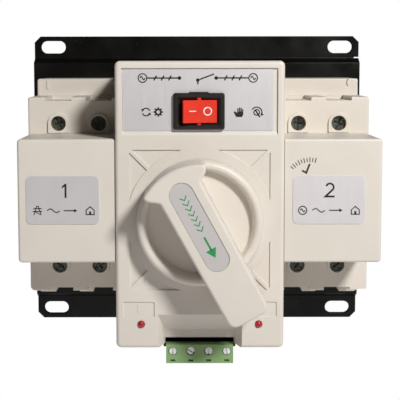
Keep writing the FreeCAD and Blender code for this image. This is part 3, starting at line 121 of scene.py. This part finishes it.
class Finish:
    """One material under construction: its nodes and the shader they lead to."""

    def __init__(self, name, colour, roughness, metallic=0.0):
        self.material = bpy.data.materials.new(name)
        self.material.use_nodes = True
        self.nodes = self.material.node_tree.nodes
        self.links = self.material.node_tree.links
        self.shader = self.nodes["Principled BSDF"]
        self.shader.inputs["Base Color"].default_value = tint(colour, 1.0)
        self.shader.inputs["Roughness"].default_value = roughness
        self.shader.inputs["Metallic"].default_value = metallic
        self.colour = colour
        self.roughness = roughness
        self.place = self.nodes.new("ShaderNodeTexCoord").outputs["Object"]
        self.colour_from = None
        self.normal_from = None

    def stretched(self, x, y, z):
        """Coordinates stretched along some axes, for brushed and drawn surfaces."""
        mapping = self.nodes.new("ShaderNodeMapping")
        mapping.inputs["Scale"].default_value = (x, y, z)
        self.links.new(self.place, mapping.inputs["Vector"])
        return mapping.outputs["Vector"]

    def noise(self, size, detail=2.0, rough=0.5, place=None):
        """Noise whose features are about size millimetres across."""
        node = self.nodes.new("ShaderNodeTexNoise")
        node.inputs["Scale"].default_value = 1.0 / (size * MM)
        node.inputs["Detail"].default_value = detail
        node.inputs["Roughness"].default_value = rough
        self.links.new(place or self.place, node.inputs["Vector"])
        return node.outputs["Fac"]

    def ramp(self, source, low, high, to_low=0.0, to_high=1.0):
        """Source carried from one range to another."""
        node = self.nodes.new("ShaderNodeMapRange")
        node.inputs["From Min"].default_value = low
        node.inputs["From Max"].default_value = high
        node.inputs["To Min"].default_value = to_low
        node.inputs["To Max"].default_value = to_high
        self.links.new(source, node.inputs["Value"])
        return node.outputs["Result"]

    def mix(self, factor, first, second):
        """Two colours, or an earlier colour and a new one, mixed by a factor."""
        node = self.nodes.new("ShaderNodeMix")
        node.data_type = "RGBA"
        self.links.new(factor, node.inputs["Factor"])
        for socket, value in ((node.inputs["A"], first), (node.inputs["B"], second)):
            if isinstance(value, bpy.types.NodeSocket):
                self.links.new(value, socket)
            else:
                socket.default_value = value
        return node.outputs["Result"]

    def patches(self, size, spread):
        """Slow, faint change of shade over the surface."""
        factor = self.ramp(self.noise(size, 3.0), NOISE_LOW, NOISE_HIGH)
        self.colour_from = self.mix(factor, tint(self.colour, 1 - spread), tint(self.colour, 1 + spread))
        return self

    def specks(self, size, share, colour):
        """Small dots of another colour, such as dust or pigment."""
        factor = self.ramp(self.noise(size, 1.0), 1 - share, 1 - share + 0.03)
        self.colour_from = self.mix(factor, self.colour_from, colour)
        return self

    def gloss_change(self, size, spread, place=None):
        """Roughness that wanders about its own value."""
        low = max(0.02, self.roughness - spread)
        high = self.roughness + spread
        source = self.noise(size, 3.0, place=place)
        value = self.ramp(source, NOISE_LOW, NOISE_HIGH, low, high)
        self.links.new(value, self.shader.inputs["Roughness"])
        return self

    def grain(self, size, height, place=None, detail=3.0):
        """Fine relief, its features size millimetres across and height millimetres deep."""
        bump = self.nodes.new("ShaderNodeBump")
        bump.inputs["Strength"].default_value = 1.0
        bump.inputs["Distance"].default_value = height * MM
        self.links.new(self.noise(size, detail, 0.55, place), bump.inputs["Height"])
        if self.normal_from is not None:
            self.links.new(self.normal_from, bump.inputs["Normal"])
        self.normal_from = bump.outputs["Normal"]
        return self

    def worn_edges(self, radius):
        """Shading of edges as if rounded to a radius in millimetres."""
        bevel = self.nodes.new("ShaderNodeBevel")
        bevel.samples = 6
        bevel.inputs["Radius"].default_value = radius * MM
        self.normal_from = bevel.outputs["Normal"]
        return self

    def set(self, **values):
        """Uniform values straight on the shader's sockets."""
        for name, value in values.items():
            self.shader.inputs[name.replace("_", " ")].default_value = value
        return self

    def done(self):
        """The finished material."""
        if self.colour_from is not None:
            self.links.new(self.colour_from, self.shader.inputs["Base Color"])
        if self.normal_from is not None:
            self.links.new(self.normal_from, self.shader.inputs["Normal"])
        return self.material


def moulded(name, colour, roughness, spread=0.02, grain=0.003, edge=0.3):
    """Moulded plastic with a spark-eroded texture."""
    finish = Finish(name, colour, roughness).patches(18.0, spread).gloss_change(9.0, 0.05)
    finish.worn_edges(edge)
    return finish.grain(0.35, grain).grain(6.0, grain * 2).done()


def metal(name, colour, roughness, spread=0.06, metallic=1.0, patch=5.0):
    """Bare or plated metal, a little uneven in colour and gloss."""
    finish = Finish(name, colour, roughness, metallic).patches(patch, spread).worn_edges(0.12)
    return finish.gloss_change(0.8, 0.08).grain(0.25, 0.004).done()


def powder_coat():
    """Black powder coat on the steel plate, with an orange-peel surface and a little dust."""
    finish = Finish("black_powder_coat", (0.0032, 0.003, 0.0026), 0.34).patches(30.0, 0.15)
    finish.specks(1.1, 0.21, (0.07, 0.07, 0.066, 1.0))
    finish.worn_edges(0.6).gloss_change(12.0, 0.08).grain(0.9, 0.006).grain(0.15, 0.0015)
    return finish.set(Specular_IOR_Level=0.26).done()


def silver_film(name, colour, metallic):
    """Printed silver label film: fine vertical brushing under a clear satin skin."""
    finish = Finish(name, colour, 0.5, metallic).patches(14.0, 0.02)
    place = finish.stretched(1.0, 1.0, 0.03)
    finish.gloss_change(0.4, 0.06, place).grain(0.3, 0.0008, place)
    return finish.set(Coat_Weight=0.15, Coat_Roughness=0.3).done()


def ink(name, colour):
    """Screen-printed ink with slightly uneven cover."""
    return Finish(name, colour, 0.45).patches(0.8, 0.12).gloss_change(1.5, 0.06).grain(0.2, 0.001).done()


def red_plastic():
    """Glossy, slightly translucent red of the rocker."""
    finish = Finish("rocker_red", (0.78, 0.05, 0.028), 0.2).patches(5.0, 0.05).gloss_change(4.0, 0.05)
    finish.grain(2.5, 0.003)
    return finish.set(Subsurface_Weight=0.25, Subsurface_Scale=0.002, Coat_Weight=0.3).done()


def lamp_lens():
    """Deep red diffused lens."""
    finish = Finish("lamp_red", (0.42, 0.012, 0.014), 0.16).patches(0.8, 0.1).gloss_change(1.0, 0.04)
    finish.grain(0.5, 0.002)
    return finish.set(Subsurface_Weight=0.2, Subsurface_Scale=0.001, Coat_Weight=0.4).done()


def circuit_board():
    """Green solder mask with lighter traces under it."""
    finish = Finish("solder_mask", (0.012, 0.11, 0.045), 0.3).patches(8.0, 0.1)
    brick = finish.nodes.new("ShaderNodeTexBrick")
    brick.inputs["Scale"].default_value = 160.0
    brick.inputs["Mortar Size"].default_value = 0.03
    finish.links.new(finish.place, brick.inputs["Vector"])
    finish.colour_from = finish.mix(brick.outputs["Fac"], finish.colour_from, (0.03, 0.24, 0.1, 1.0))
    return finish.gloss_change(3.0, 0.06).grain(0.6, 0.004).done()


def winding():
    """Lacquered copper wire, wound close."""
    finish = Finish("copper_winding", (0.62, 0.24, 0.09), 0.3, 1.0).patches(2.0, 0.12)
    return finish.gloss_change(1.0, 0.08).grain(0.3, 0.02, finish.stretched(0.2, 0.2, 1.0)).done()


CREAM = (0.735, 0.684, 0.615)
UNIT_CREAM = (0.735, 0.68, 0.605)
MATERIALS = {
    "black_steel": powder_coat(),
    "bright_steel": metal("zinc_plated_steel", (0.66, 0.66, 0.67), 0.34),
    "dark_screw": metal("black_zinc_screw", (0.115, 0.122, 0.105), 0.4, 0.7, 0.75, 0.5),
    "box_cream": moulded("cream_plastic", CREAM, 0.42),
    "unit_cream": moulded("cream_plastic_units", UNIT_CREAM, 0.44),
    "silver_label": silver_film("silver_film", (0.73, 0.71, 0.715), 0.5),
    "black_nylon": moulded("black_nylon", (0.011, 0.010, 0.0095), 0.42, 0.12),
    "red_gloss": red_plastic(),
    "red_lamp": lamp_lens(),
    "brass": metal("brass", (0.72, 0.52, 0.22), 0.3),
    "copper": metal("copper", (0.72, 0.33, 0.19), 0.3),
    "white_acetal": moulded("white_acetal", (0.75, 0.74, 0.69), 0.35),
    "board_green": circuit_board(),
    "relay_black": moulded("relay_black", (0.02, 0.02, 0.024), 0.32, 0.1),
    "header_black": moulded("header_black", (0.015, 0.016, 0.013), 0.38, 0.1),
    "plug_green": moulded("plug_green", (0.24, 0.40, 0.165), 0.4, 0.06),
}
WINDING = winding()
SPECIAL_FINISHES = {
    "left_trip_coils": WINDING,
    "right_trip_coils": WINDING,
    "plug_screws": metal("nickel_plated_steel", (0.93, 0.94, 0.94), 0.34, metallic=0.3),
    # Lighter copy of the silver label film for the right label: painted light for the stronger light
    # falling on the right side
    "right_label": silver_film("right_label_film_painted_light", (0.795, 0.775, 0.78), 0.5),
    "handle_label": silver_film("handle_film", (0.60, 0.575, 0.57), 0.2),
}
BLACK_INK = ink("black_ink", (0.012, 0.012, 0.013))
STAMP_INK = ink("stamp_ink", (0.05, 0.042, 0.038))
GREEN_INK = ink("green_ink", (0.02, 0.30, 0.09))
WHITE_INK = ink("white_ink", (0.8, 0.72, 0.68))


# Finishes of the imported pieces

def slot_of(node):
    """The record's material slot of a CAD node."""
    rows = frame["record"]["subparts"]
    return next(row["material_slot"] for row in rows if row["node"] == node)


def finish_nodes():
    """Give every CAD node its finish."""
    for name, node in frame["nodes"].items():
        material = SPECIAL_FINISHES.get(name, MATERIALS[slot_of(name)])
        for index in range(len(node.material_slots)):
            node.material_slots[index].material = material


# Printed signs: thin closed plates of ink

class Print:
    """A sign in its own flat coordinates, set on a face by place(u, v, height)."""

    def __init__(self, place, u=0.0, v=0.0, turn=0.0, size=1.0):
        self.place = place
        self.bm = bmesh.new()
        self.moved(u, v, turn, size)

    def moved(self, u, v, turn=0.0, size=1.0):
        """Draw the next shapes about a point of the face, turned and scaled."""
        self.origin = (u, v)
        self.turn = (math.cos(turn) * size, math.sin(turn) * size)
        return self

    def pair(self, point):
        """Bottom and top vertex at a flat point."""
        c, s = self.turn
        u = self.origin[0] + point[0] * c - point[1] * s
        v = self.origin[1] + point[0] * s + point[1] * c
        return [self.bm.verts.new(self.place(u, v, h)) for h in (-SINK, RISE)]

    def polygon(self, points):
        """Filled outline."""
        pairs = [self.pair(p) for p in points]
        self.bm.faces.new([top for _, top in pairs])
        self.bm.faces.new([low for low, _ in reversed(pairs)])
        for a, b in zip(pairs, pairs[1:] + pairs[:1]):
            self.bm.faces.new((a[0], b[0], b[1], a[1]))
        return self

    def stroke(self, points, width, closed=False):
        """Line of constant width through the points, mitred at its corners."""
        count = len(points)
        left, right = [], []
        for i, point in enumerate(points):
            before = points[i - 1] if i or closed else None
            after = points[(i + 1) % count] if i < count - 1 or closed else None
            ways = [unit(a, b) for a, b in ((before, point), (point, after)) if a and b]
            way = unit((0, 0), (sum(w[0] for w in ways), sum(w[1] for w in ways)))
            reach = width / 2 / max(MITRE_LIMIT, way[0] * ways[0][0] + way[1] * ways[0][1])
            left.append(self.pair((point[0] - way[1] * reach, point[1] + way[0] * reach)))
            right.append(self.pair((point[0] + way[1] * reach, point[1] - way[0] * reach)))
        for i in range(count if closed else count - 1):
            j = (i + 1) % count
            self.bm.faces.new((left[i][1], right[i][1], right[j][1], left[j][1]))
            self.bm.faces.new((left[i][0], left[j][0], right[j][0], right[i][0]))
            self.bm.faces.new((left[i][0], left[i][1], left[j][1], left[j][0]))
            self.bm.faces.new((right[i][0], right[j][0], right[j][1], right[i][1]))
        if not closed:
            for i in (0, count - 1):
                self.bm.faces.new((left[i][0], left[i][1], right[i][1], right[i][0]))
        return self

    def piece(self, name, material, body, slot):
        """Finish the sign as an object that rides on a body."""
        bmesh.ops.recalc_face_normals(self.bm, faces=self.bm.faces)
        mesh = bpy.data.meshes.new(name)
        self.bm.to_mesh(mesh)
        self.bm.free()
        mesh.materials.append(material)
        obj = bpy.data.objects.new(name, mesh)
        bpy.context.collection.objects.link(obj)
        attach(obj, body)


def unit(a, b):
    """Direction from one flat point to another."""
    length = math.hypot(b[0] - a[0], b[1] - a[1])
    return ((b[0] - a[0]) / length, (b[1] - a[1]) / length)


def arc_point(radius, angle):
    """Point on a circle, its angle in degrees from +u towards +v."""
    a = math.radians(angle)
    return (radius * math.cos(a), radius * math.sin(a))


def arc(radius, start, end, count=24, u=0.0, v=0.0):
    """Points on an arc, its angles in degrees from +u towards +v."""
    points = [arc_point(radius, start + (end - start) * i / count) for i in range(count + 1)]
    return [(u + point[0], v + point[1]) for point in points]


def circle(radius, count=28, u=0.0, v=0.0):
    """Points round a circle, without repeating the first."""
    return arc(radius, 0.0, 360.0, count, u, v)[:-1]


def wave(length, height, count=16):
    """One period of a sine wave, centred."""
    steps = [i / count for i in range(count + 1)]
    return [(length * (t - 0.5), height * math.sin(2 * math.pi * t)) for t in steps]


def arrow_head(u, v, towards, size):
    """Triangle with its tip at a point, towards an angle in degrees."""
    a = math.radians(towards)
    back = (u - size * math.cos(a), v - size * math.sin(a))
    half = size * 0.6
    return [(u, v), (back[0] - half * math.sin(a), back[1] + half * math.cos(a)),
            (back[0] + half * math.sin(a), back[1] - half * math.cos(a))]


def on_face(depth):
    """Place on a face that looks away from the wall."""
    return lambda u, v, h: at(u, depth + h, v)


def on_handle(depth):
    """Place on the grip, in the handle's own drawing position with its tip down."""
    c, s = math.cos(HANDLE_ANGLE), math.sin(HANDLE_ANGLE)
    return lambda u, v, h: at(u * c - v * s, depth + h, KNOB_Z + u * s + v * c)


def ac_source(sign, radius, line):
    """Circle with a sine wave in it."""
    sign.stroke(circle(radius), line, closed=True)
    sign.stroke(wave(radius * 1.15, radius * 0.38), line)


def generator(sign):
    """Generator of the backup supply."""
    ac_source(sign, 1.7, 0.42)


def changeover_diagram():
    """Single-line diagram of a changeover switch, across the top of the panel label."""
    middle, z = DIAGRAM_AT
    line = 0.55
    dot = 0.75
    source_x = 22.6
    wire = (20.6, 8.2)
    contact_x = 7.5
    ticks = (17.4, 14.4, 11.4)
    sign = Print(on_face(PANEL_LABEL_FACE))
    for sx in (-1, 1):
        ac_source(sign.moved(sx * source_x + middle, z), 1.75, 0.45)
        sign.moved(middle, z)
        sign.stroke([(sx * u, 0) for u in wire], line)
        sign.polygon(circle(dot, 16, sx * contact_x, 0))
        for tick in ticks:
            sign.stroke([(sx * tick - 0.55, -1.0), (sx * tick + 0.55, 1.0)], line)
    pivot = (0, -0.9)
    blade = [(0.75, -0.6), (6.6, 1.6)]
    outlet = [(0, -1.65), (0, -2.6)]
    sign.polygon(circle(dot, 16, *pivot))
    sign.stroke(blade, line)
    sign.stroke(outlet, line)
    sign.piece("print_changeover_diagram", BLACK_INK, "housing", "silver_label")


def automatic_sign():
    """Two arrows that chase each other round a ring, and a cog: the motor does it."""
    sign = Print(on_face(PANEL_LABEL_FACE), *RING_AT)
    sweep = 128.0
    tip_angle = 158.0
    for start in (20.0, 200.0):
        sign.stroke(arc(1.55, start, start + sweep, 16), 0.5)
        tip = arc_point(1.62, start + tip_angle)
        sign.polygon(arrow_head(*tip, start + tip_angle + 78.0, 1.15))
    sign.moved(*COG_AT)
    teeth = 8
    root, crest, bore = 1.4, 1.95, 0.72
    outline = []
    for tooth in range(teeth):
        middle = 360.0 * tooth / teeth
        for angle, radius in ((-15.0, root), (-10.0, crest), (10.0, crest), (15.0, root)):
            outline.append(arc_point(radius, middle + angle))
    ring_between(sign, outline, circle(bore, len(outline)))
    sign.piece("print_automatic", BLACK_INK, "housing", "silver_label")


def ring_between(sign, outer, inner):
    """Flat ring between two outlines with the same number of points."""
    outside = [sign.pair(p) for p in outer]
    first = min(range(len(inner)), key=lambda i: math.dist(inner[i], outer[0]))
    inside = [sign.pair(p) for p in inner[first:] + inner[:first]]
    count = len(outer)
    for i in range(count):
        j = (i + 1) % count
        sign.bm.faces.new((outside[i][1], outside[j][1], inside[j][1], inside[i][1]))
        sign.bm.faces.new((outside[i][0], inside[i][0], inside[j][0], outside[j][0]))
        sign.bm.faces.new((outside[i][0], outside[j][0], outside[j][1], outside[i][1]))
        sign.bm.faces.new((inside[i][0], inside[i][1], inside[j][1], inside[j][0]))


def manual_sign():
    """A hand beside a knob with a turning arrow."""
    sign = Print(on_face(PANEL_LABEL_FACE), *HAND_AT)
    palm = [(-1.5, -1.9), (0.9, -1.9), (1.4, -0.9), (1.4, 0.4), (-1.1, 0.4), (-1.1, -0.3), (-2.0, 0.5),
            (-2.5, 0.1)]
    sign.polygon(palm)
    fingers = ((-0.83, 1.6), (-0.1, 2.0), (0.58, 1.8), (1.2, 1.2))
    for u, top in fingers:
        sign.stroke([(u, 0.45), (u, top)], 0.5)
    sign.moved(*TURN_AT)
    turn_radius = 2.15
    sign.stroke(circle(1.15), 0.45, closed=True)
    sign.stroke([(-0.45, 0.8), (1.35, -2.0)], 0.6)
    sign.stroke(arc(turn_radius, -20.0, 150.0, 20), 0.45)
    sign.polygon(arrow_head(*arc_point(turn_radius, -42.0), -132.0, 1.2))
    sign.piece("print_manual", BLACK_INK, "housing", "silver_label")


def house(sign, size):
    """House outline with a door: the load."""
    s = size
    sign.stroke([(-s, -s), (-s, 0.1 * s), (0, s), (s, 0.1 * s), (s, -s)], 0.42, closed=True)
    sign.polygon([(-0.25 * s, -s), (0.25 * s, -s), (0.25 * s, -0.2 * s), (-0.25 * s, -0.2 * s)])


def long_arrow(sign, start, end):
    """Straight arrow along u."""
    sign.stroke([(start, 0), (end - 1.0, 0)], 0.45)
    sign.polygon(arrow_head(end, 0, 0.0, 1.3))


def big_one(sign):
    """Numeral one."""
    sign.polygon([(-0.5, -3.7), (0.5, -3.7), (0.5, 3.7), (-0.25, 3.7), (-1.9, 2.35), (-1.9, 1.2),
                  (-0.5, 2.2)])


def big_two(sign):
    """Numeral two."""
    curve = arc(1.95, 165.0, -35.0, 22, 0, 1.7)
    sign.stroke(curve + [(-2.35, -3.2), (2.5, -3.2)], 0.95)


def pylon(sign):
    """Pylon of the public supply."""
    sign.stroke([(-1.5, -1.8), (-0.35, 1.8), (0.35, 1.8), (1.5, -1.8)], 0.36)
    for height, half in ((0.9, 1.7), (-0.3, 1.9)):
        sign.stroke([(-half, height), (half, height)], 0.36)
    sign.stroke([(-1.1, -0.4), (1.2, -1.6)], 0.3)


def side_sign(name, x, row_x, numeral, source):
    """Position number of one supply, and below it where its power comes from and goes."""
    sign = Print(on_face(SIDE_LABEL_FACE), x, NUMERAL_Z, size=NUMERAL_SIZE)
    numeral(sign)
    source(sign.moved(row_x - ROW_ENDS, ROW_Z))
    sign.moved(row_x + ROW_WAVE_X, ROW_Z)
    sign.stroke(wave(5.2, 0.75), 0.42)
    sign.moved(row_x + ROW_ARROW_X, ROW_Z)
    long_arrow(sign, -2.7, 2.9)
    house(sign.moved(row_x + ROW_ENDS, ROW_Z), 1.65)
    sign.piece(name, BLACK_INK, "housing", "silver_label")


def inspection_mark():
    """Fan of short strokes over a check mark."""
    sign = Print(on_face(SIDE_COVER_FACE), 45.6, 8.8)
    radius = 10.2
    first_angle = 137.0
    step = 6.6
    for index in range(10):
        angle = first_angle - step * index
        reach = 1.05 if index % 2 else 0.8
        sign.stroke([arc_point(radius - reach, angle), arc_point(radius + reach, angle)], 0.36)
    sign.moved(44.0, 15.0, math.radians(20.0))
    check = [(-1.8, 0.2), (-0.5, -1.3), (2.1, 1.7)]
    sign.stroke(check, 0.8)
    sign.piece("print_check_mark", STAMP_INK, "housing", "box_cream")


def handle_sign():
    """Chevrons that run into an arrow towards the handle's tip."""
    sign = Print(on_handle(HANDLE_LABEL_FACE), 0.1, 0.0)
    top = 14.0
    pitch = 2.3
    for index in range(7):
        v = top - pitch * index
        sign.stroke([(-1.45, v + 0.75), (0, v - 0.75), (1.45, v + 0.75)], 0.42)
    shaft = [(-0.3, -3.1), (-0.3, -8.9)]
    head = [(-2.5, -8.6), (-0.3, -12.4), (1.9, -8.6)]
    sign.stroke(shaft, 0.8)
    sign.polygon(head)
    sign.piece("print_handle_arrow", GREEN_INK, "handle", "silver_label")


def on_node(name, x, z):
    """Place on the front of a node's own surface, round a point of its front view."""
    node = frame["nodes"][name]
    back = node.matrix_world.inverted()
    way = (back.to_3x3() @ Vector((0, 1, 0))).normalized()
    well_in_front = 150.0

    def place(u, v, h):
        start = back @ at(x + u, well_in_front, z + v)
        hit, point, normal, _ = node.ray_cast(start, way)
        return node.matrix_world @ (point + normal * (h * MM))
    return place


def rocker_signs():
    """On and off marks."""
    sign = Print(on_node("rocker", ROCKER_X, ROCKER_Z))
    sign.stroke([(-4.0 + 0.4 * i, 0.15) for i in range(8)], 0.42)
    sign.stroke(circle(1.55, 32, 3.55, 0.1), 0.5, closed=True)
    sign.piece("print_rocker_marks", WHITE_INK, "rocker", "red_gloss")


def position_marks():
    """Raised strokes in the two small recesses, one for each supply."""
    sign = Print(on_face(MARKER_FACE))
    for x, strokes in ((-25.6, (0.0,)), (25.4, (-1.2, 1.2))):
        sign.moved(x, MARKER_Z)
        for u in strokes:
            sign.stroke([(u, -1.8), (u, 1.8)], 0.6)
    sign.piece("print_position_marks", MATERIALS["box_cream"], "housing", "box_cream")


# Room, lights and camera

def seen_and_given(tree, kind, seen, given):
    """Shader of one kind, with one colour and strength for the camera and others for all other rays."""
    mix = tree.nodes.new("ShaderNodeMixShader")
    path = tree.nodes.new("ShaderNodeLightPath")
    tree.links.new(path.outputs["Is Camera Ray"], mix.inputs[0])
    for socket, (colour, strength) in ((1, given), (2, seen)):
        node = tree.nodes.new(kind)
        node.inputs["Color"].default_value = colour
        node.inputs["Strength"].default_value = strength
        tree.links.new(node.outputs[0], mix.inputs[socket])
    return mix.outputs[0]


def world():
    """White surroundings that give only a little light."""
    scene_world = bpy.data.worlds.new("studio")
    scene_world.use_nodes = True
    tree = scene_world.node_tree
    tree.nodes.clear()
    output = tree.nodes.new("ShaderNodeOutputWorld")
    light = seen_and_given(tree, "ShaderNodeBackground", PURE_WHITE, WORLD_GIVES)
    tree.links.new(light, output.inputs["Surface"])
    bpy.context.scene.world = scene_world


def floor():
    """Plain pale floor, below the object."""
    mesh = bpy.data.meshes.new("floor")
    bm = bmesh.new()
    bmesh.ops.create_circle(bm, cap_ends=True, segments=96, radius=FLOOR_RADIUS)
    bm.to_mesh(mesh)
    bm.free()
    piece = bpy.data.objects.new("floor", mesh)
    piece.location = (0, 0, FLOOR_HEIGHT)
    bpy.context.collection.objects.link(piece)
    material = bpy.data.materials.new("pale_floor")
    material.use_nodes = True
    tree = material.node_tree
    tree.nodes.clear()
    output = tree.nodes.new("ShaderNodeOutputMaterial")
    light = seen_and_given(tree, "ShaderNodeEmission", PURE_WHITE, FLOOR_GIVES)
    tree.links.new(light, output.inputs["Surface"])
    mesh.materials.append(material)


def key_light():
    """Round softbox that gives the shadows."""
    data = bpy.data.lights.new("key", "AREA")
    data.shape = "DISK"
    data.size = KEY_SIZE
    data.energy = KEY_POWER
    data.color = KEY_COLOUR
    lamp = bpy.data.objects.new("key", data)
    lamp.location = KEY_PLACE
    way = Vector(KEY_AIM) - Vector(KEY_PLACE)
    lamp.rotation_euler = way.to_track_quat("-Z", "Y").to_euler()
    bpy.context.collection.objects.link(lamp)


def camera():
    """Camera a little left of and above the middle, held almost level."""
    data = bpy.data.cameras.new("camera")
    data.sensor_width = SENSOR_WIDTH
    data.lens = LENS
    data.shift_x = SHIFT_X
    data.shift_y = SHIFT_Y
    data.clip_start = 0.01
    data.clip_end = 20.0
    piece = bpy.data.objects.new("camera", data)
    piece.location = at(*CAMERA_PLACE)
    piece.rotation_euler = (math.radians(90.0 - CAMERA_DOWN), math.radians(CAMERA_ROLL), 0.0)
    bpy.context.collection.objects.link(piece)
    bpy.context.scene.camera = piece


finish_nodes()
changeover_diagram()
automatic_sign()
manual_sign()
side_sign("print_supply_one", -55.5, -56.3, big_one, pylon)
side_sign("print_supply_two", 53.8, 53.5, big_two, generator)
inspection_mark()
handle_sign()
rocker_signs()
position_marks()
world()
floor()
key_light()
camera()
bpy.context.scene.view_settings.view_transform = "Standard"
